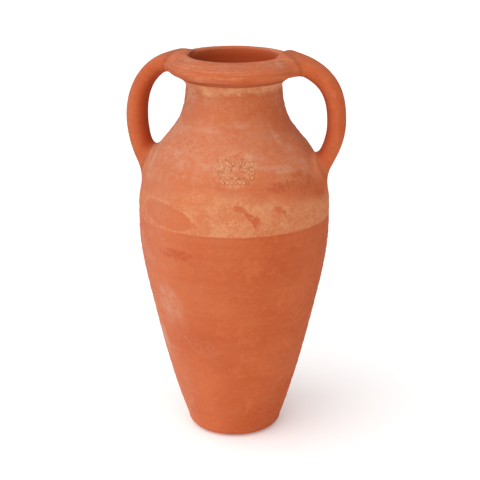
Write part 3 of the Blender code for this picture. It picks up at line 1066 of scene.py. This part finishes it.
def creases(wiring, height, rightward, grip, patterns):
    """Painted shade under the lip, round the handle roots and on the left edge; dark scored lines on the
    lip's face, a dark line at the foot seam, and the lip's top a little darker.
    """
    wavy = height + (patterns.streaks - 0.5) * 0.002
    # Painted shade: a dark band under the lip's flare.
    under_lip = wiring.band(wavy, 0.5172, 0.0012, 0.5225, 0.0020) * 0.40
    foot = wiring.band(wavy, FOOT_SEAM - 0.0008, 0.0010, FOOT_SEAM + 0.0004, 0.0010) * 0.20
    on_lip = wiring.ramp(height, LIP_SEAM + 0.003, LIP_SEAM + 0.010)
    scored = wiring.ramp(patterns.lines, 0.42, 0.34) * on_lip * 0.22
    # Painted shade in the crease round the handle roots.
    roots = wiring.ramp(grip, 0.01, 0.25) * wiring.ramp(grip, 0.95, 0.40)
    # Painted shade on the left edge of the upper jar.
    aside = wiring.ramp(rightward, -0.30, -0.95) * wiring.ramp(height, 0.30, 0.42)
    painted_shade_and_crest = roots * 0.30 + aside * (0.04 + 0.24 * patterns.patch)
    crest = wiring.ramp(height, HEIGHT - 0.012, HEIGHT - 0.002)
    painted_shade_and_crest = painted_shade_and_crest + crest * (0.03 + 0.10 * patterns.patch)
    return (under_lip + foot + scored) * (1.0 - grip) + painted_shade_and_crest


# ---- operators: one for each piece or group of like pieces -----------------------------
class PieceOperator:
    """What the piece operators share"""

    bl_options = {"REGISTER", "UNDO"}

    @property
    def shape(self):
        return bpy.context.scene.amphora_shape

    def wall_piece(self, name, low, high):
        pitch = self.shape.pitch
        outer = outer_line(low, high, pitch)[::-1]
        inner = inner_line(low, high, pitch * 2)
        return add_piece(name, spun(np.vstack((outer, inner)), self.shape.steps, True))


class AMPHORA_OT_foot_dish(PieceOperator, bpy.types.Operator):
    """Turn the floor of the jar with its rounded edge"""

    bl_idname = "amphora.foot_dish"
    bl_label = "Foot Dish"

    def execute(self, context):
        pitch = self.shape.pitch
        corner = BODY_RADII[0] - FOOT_CORNER * FOOT_ROUNDNESS
        turns = np.linspace(0, math.pi / 2, 12)
        edge = np.column_stack((
            corner + FOOT_CORNER * FOOT_ROUNDNESS * np.cos(turns),
            FOOT_CORNER * (1 - np.sin(turns)),
        ))
        rim = corner - FOOT_RIM
        under = [(rim, 0.0), (rim - FOOT_RIM_SLOPE, FOOT_HOLLOW), (0.0, FOOT_HOLLOW)]
        under = evenly(np.vstack((edge[-1:], under)), pitch * 1.5)[1:]
        inside = inner_line(FLOOR + FLOOR_CORNER, FOOT_SEAM, pitch)
        floor = np.column_stack((
            inside[0, 0] - FLOOR_CORNER * (1 - np.sin(turns)),
            FLOOR + FLOOR_CORNER * (1 - np.cos(turns)),
        ))
        middle = evenly(((0.0, FLOOR), floor[0]), pitch * 1.5)[:-1]
        side = outer_line(BODY_HEIGHTS[0], FOOT_SEAM, pitch)[::-1]
        profile = np.vstack((middle, floor, inside[1:], side, edge[1:], under))
        piece = add_piece("foot_dish_clay", spun(profile, self.shape.steps, False))
        shape_clay(piece, self.shape)
        settle(piece, "lower_clay", "foot_dish")
        return {"FINISHED"}


class AMPHORA_OT_lower_wall(PieceOperator, bpy.types.Operator):
    """Throw the long tapering wall up to the belly"""

    bl_idname = "amphora.lower_wall"
    bl_label = "Lower Wall"

    def execute(self, context):
        piece = self.wall_piece("lower_wall_clay", FOOT_SEAM, BELLY_SEAM)
        shape_clay(piece, self.shape)
        settle(piece, "lower_clay", "lower_wall")
        return {"FINISHED"}


class AMPHORA_OT_shoulder(PieceOperator, bpy.types.Operator):
    """Throw the shoulder and press the stamp into it"""

    bl_idname = "amphora.shoulder"
    bl_label = "Shoulder and Stamp"

    def execute(self, context):
        stamp = Stamp()
        pitch = self.shape.pitch * 0.7
        outer = outer_line(BELLY_SEAM, NECK_SEAM, pitch)[::-1]
        inner = inner_line(BELLY_SEAM, NECK_SEAM, self.shape.pitch * 2)
        bm = spun(np.vstack((outer, inner)), self.shape.steps, True)
        self.refine(bm, stamp)
        piece = add_piece("shoulder_clay", bm)
        shape_clay(piece, self.shape, stamp=stamp)
        settle(piece, "shoulder_clay", "shoulder")
        return {"FINISHED"}

    def refine(self, bm, stamp):
        """Cuts the faces under the stamp finely and lays them on the true curve."""
        bm.faces.ensure_lookup_table()
        middles = np.array([face.calc_center_median() for face in bm.faces])
        near = stamp.window(middles)[2] & (inside_share(middles) < 0.5)
        faces = [bm.faces[index] for index in np.flatnonzero(near)]
        edges = list({edge for face in faces for edge in face.edges})
        made = bmesh.ops.subdivide_edges(bm, edges=edges, cuts=3, use_grid_fill=True)
        for vert in {v for v in made["geom_inner"] if isinstance(v, bmesh.types.BMVert)}:
            flat = vert.co.xy.normalized() * float(outer_radius(vert.co.z))
            vert.co.xy = flat


class AMPHORA_OT_neck(PieceOperator, bpy.types.Operator):
    """Throw the neck"""

    bl_idname = "amphora.neck"
    bl_label = "Neck"

    def execute(self, context):
        piece = self.wall_piece("neck_clay", NECK_SEAM, LIP_SEAM)
        shape_clay(piece, self.shape)
        settle(piece, "neck_clay", "neck")
        return {"FINISHED"}


class AMPHORA_OT_lip_ring(PieceOperator, bpy.types.Operator):
    """Turn the heavy lip"""

    bl_idname = "amphora.lip_ring"
    bl_label = "Lip Ring"

    def execute(self, context):
        line = lip_line(self.shape.pitch * 0.6)
        piece = add_piece("lip_ring_clay", spun(line, self.shape.steps, True))
        shape_clay(piece, self.shape)
        settle(piece, "neck_clay", "lip_ring")
        return {"FINISHED"}


class AMPHORA_OT_seam_coils(PieceOperator, bpy.types.Operator):
    """Press the two coils over the seams inside"""

    bl_idname = "amphora.seam_coils"
    bl_label = "Seam Coils"

    def execute(self, context):
        for name in ("foot_seam_coil", "belly_seam_coil"):
            low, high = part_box(name)
            wall = inner_line(low.z, high.z, COIL_PITCH)
            share = np.linspace(-1, 1, len(wall))
            depth = COIL_EDGE + COIL_DEPTH * np.sqrt(1 - share ** 2)
            face = wall - np.column_stack((depth, np.zeros(len(wall))))
            back = wall[::-1] + (COIL_BACK, 0)
            piece = add_piece(name + "_clay", spun(np.vstack((back, face)), self.shape.steps, True))
            self.thumb(piece, (low.z + high.z) / 2)
            shape_clay(piece, self.shape, rings=False)
            settle(piece, "inner_clay", name)
        return {"FINISHED"}

    def thumb(self, piece, seam):
        """Thumb marks along the coil's face."""
        points = coordinates(piece.data)
        turn = np.arctan2(points[:, 0], points[:, 1])
        radius = np.hypot(points[:, 0], points[:, 1])
        marks = np.round(2 * math.pi * radius.mean() / THUMB_PITCH)
        near = np.clip(1 - np.abs(points[:, 2] - seam) / THUMB_REACH, 0, 1)
        face = radius < radius.mean()
        depth = THUMB_DEPTH * near * face * (0.5 + 0.5 * np.cos(turn * marks))
        points[:, :2] *= (1 + depth / radius)[:, None]
        piece.data.vertices.foreach_set("co", points.astype(np.float32).ravel())


class AMPHORA_OT_handles(PieceOperator, bpy.types.Operator):
    """Pull the two handles"""

    bl_idname = "amphora.handles"
    bl_label = "Handles"

    def execute(self, context):
        turns = np.linspace(0, 2 * math.pi, HANDLE_FACES, endpoint=False)
        for name in HANDLES:
            form = HandleForm(name)
            piece = add_piece(name + "_clay", lofted(form.rings(turns, 2), True))
            shape_clay(piece, self.shape, rings=False, grip=handle_share)
            settle(piece, "handle_clay", name)
        return {"FINISHED"}


class AMPHORA_OT_root_collars(PieceOperator, bpy.types.Operator):
    """Wipe soft clay round the four handle roots"""

    bl_idname = "amphora.root_collars"
    bl_label = "Root Collars"

    def execute(self, context):
        turns = np.linspace(0, 2 * math.pi, COLLAR_FACES, endpoint=False)
        for name in HANDLES:
            form = HandleForm(name)
            for root, reach in (("top", self.shape.top_blend), ("foot", self.shape.foot_blend)):
                rings = collar_rings(form, root == "top", reach, turns)
                node = f"{name}_{root}_collar"
                piece = add_piece(node + "_clay", lofted(rings, False))
                shape_clay(piece, self.shape, rings=False, grip=handle_share)
                settle(piece, "handle_clay", node)
        return {"FINISHED"}


class AMPHORA_OT_stage(bpy.types.Operator):
    """Set the pale floor, the soft lights and the camera"""

    bl_idname = "amphora.stage"
    bl_label = "Stage"
    bl_options = {"REGISTER", "UNDO"}

    def execute(self, context):
        stage = context.scene.amphora_stage
        self.add_floor(stage)
        self.add_lights(stage)
        self.add_camera(stage)
        context.scene.view_settings.view_transform = "Standard"
        return {"FINISHED"}

    def add_floor(self, stage):
        """A level floor that reaches past the view, with a little light of its own."""
        bm = bmesh.new()
        bmesh.ops.create_grid(bm, x_segments=2, y_segments=2, size=8.0)
        floor = add_piece("floor", bm)
        material = bpy.data.materials.new("pale_floor")
        material.use_nodes = True
        shader = material.node_tree.nodes["Principled BSDF"]
        shader.inputs["Base Color"].default_value = colour(stage.floor)
        shader.inputs["Roughness"].default_value = 0.9
        shader.inputs["Specular IOR Level"].default_value = 0.0
        shader.inputs["Emission Color"].default_value = colour(stage.floor)
        shader.inputs["Emission Strength"].default_value = stage.floor_glow
        floor.data.materials.append(material)

    def add_lights(self, stage):
        """A wide soft key from the front left, and a sky that is brighter on that side."""
        scene = bpy.context.scene
        scene.world = bpy.data.worlds.new("studio")
        wiring = Wiring(scene.world)
        way = wiring.add("ShaderNodeTexCoord", {}, {}, "Generated")
        side = (-math.cos(LIGHT_TURN), -math.sin(LIGHT_TURN), 0.25)
        strength = stage.sky + stage.sky_rise * wiring.ramp(wiring.dot(way, side), -0.6, 1.0)
        background = wiring.tree.nodes["Background"]
        background.inputs["Color"].default_value = (1.0, 1.0, 1.0, 1.0)
        wiring.feed(background.inputs["Strength"], strength)

        light = bpy.data.lights.new("key", "SUN")
        light.energy = stage.key
        light.angle = stage.key_softness
        lamp = bpy.data.objects.new("key", light)
        scene.collection.objects.link(lamp)
        turn, rise = stage.key_turn, stage.key_rise
        towards = Vector((
            math.sin(turn) * math.cos(rise), -math.cos(turn) * math.cos(rise), math.sin(rise)
        ))
        lamp.location = towards * 2
        lamp.rotation_euler = towards.to_track_quat("Z", "Y").to_euler()

    def add_camera(self, stage):
        data = bpy.data.cameras.new("camera")
        data.sensor_width = 36.0
        data.lens = stage.camera_lens
        camera = bpy.data.objects.new("camera", data)
        turn = stage.camera_turn
        camera.location = (
            stage.camera_distance * math.sin(turn),
            -stage.camera_distance * math.cos(turn),
            stage.camera_height,
        )
        camera.rotation_euler = (
            math.pi / 2 - stage.camera_pitch, 0.0, turn - stage.camera_aside
        )
        bpy.context.scene.collection.objects.link(camera)
        bpy.context.scene.camera = camera


class AMPHORA_PT_panel(bpy.types.Panel):
    """Lists the amphora's settings and pieces"""

    bl_idname = "AMPHORA_PT_panel"
    bl_label = "Amphora"
    bl_space_type = "VIEW_3D"
    bl_region_type = "UI"
    bl_category = "Amphora"

    def draw(self, context):
        layout = self.layout
        scene = context.scene
        for group in (scene.amphora_shape, scene.amphora_clay, scene.amphora_stage):
            box = layout.box()
            for name in group.__annotations__:
                box.prop(group, name)
        for operator in OPERATORS:
            layout.operator(operator.bl_idname)


GROUPS = (AmphoraShape, AmphoraClay, AmphoraStage)
OPERATORS = (
    AMPHORA_OT_foot_dish,
    AMPHORA_OT_lower_wall,
    AMPHORA_OT_shoulder,
    AMPHORA_OT_neck,
    AMPHORA_OT_lip_ring,
    AMPHORA_OT_seam_coils,
    AMPHORA_OT_handles,
    AMPHORA_OT_root_collars,
    AMPHORA_OT_stage,
)


def register():
    for kind in (*GROUPS, *OPERATORS, AMPHORA_PT_panel):
        bpy.utils.register_class(kind)
    bpy.types.Scene.amphora_shape = PointerProperty(type=AmphoraShape)
    bpy.types.Scene.amphora_clay = PointerProperty(type=AmphoraClay)
    bpy.types.Scene.amphora_stage = PointerProperty(type=AmphoraStage)


def unregister():
    del bpy.types.Scene.amphora_stage
    del bpy.types.Scene.amphora_clay
    del bpy.types.Scene.amphora_shape
    for kind in reversed((*GROUPS, *OPERATORS, AMPHORA_PT_panel)):
        bpy.utils.unregister_class(kind)


def main():
    register()
    bpy.ops.amphora.foot_dish()
    bpy.ops.amphora.lower_wall()
    bpy.ops.amphora.shoulder()
    bpy.ops.amphora.neck()
    bpy.ops.amphora.lip_ring()
    bpy.ops.amphora.seam_coils()
    bpy.ops.amphora.handles()
    bpy.ops.amphora.root_collars()
    bpy.ops.amphora.stage()


if __name__ == "__main__":
    main()
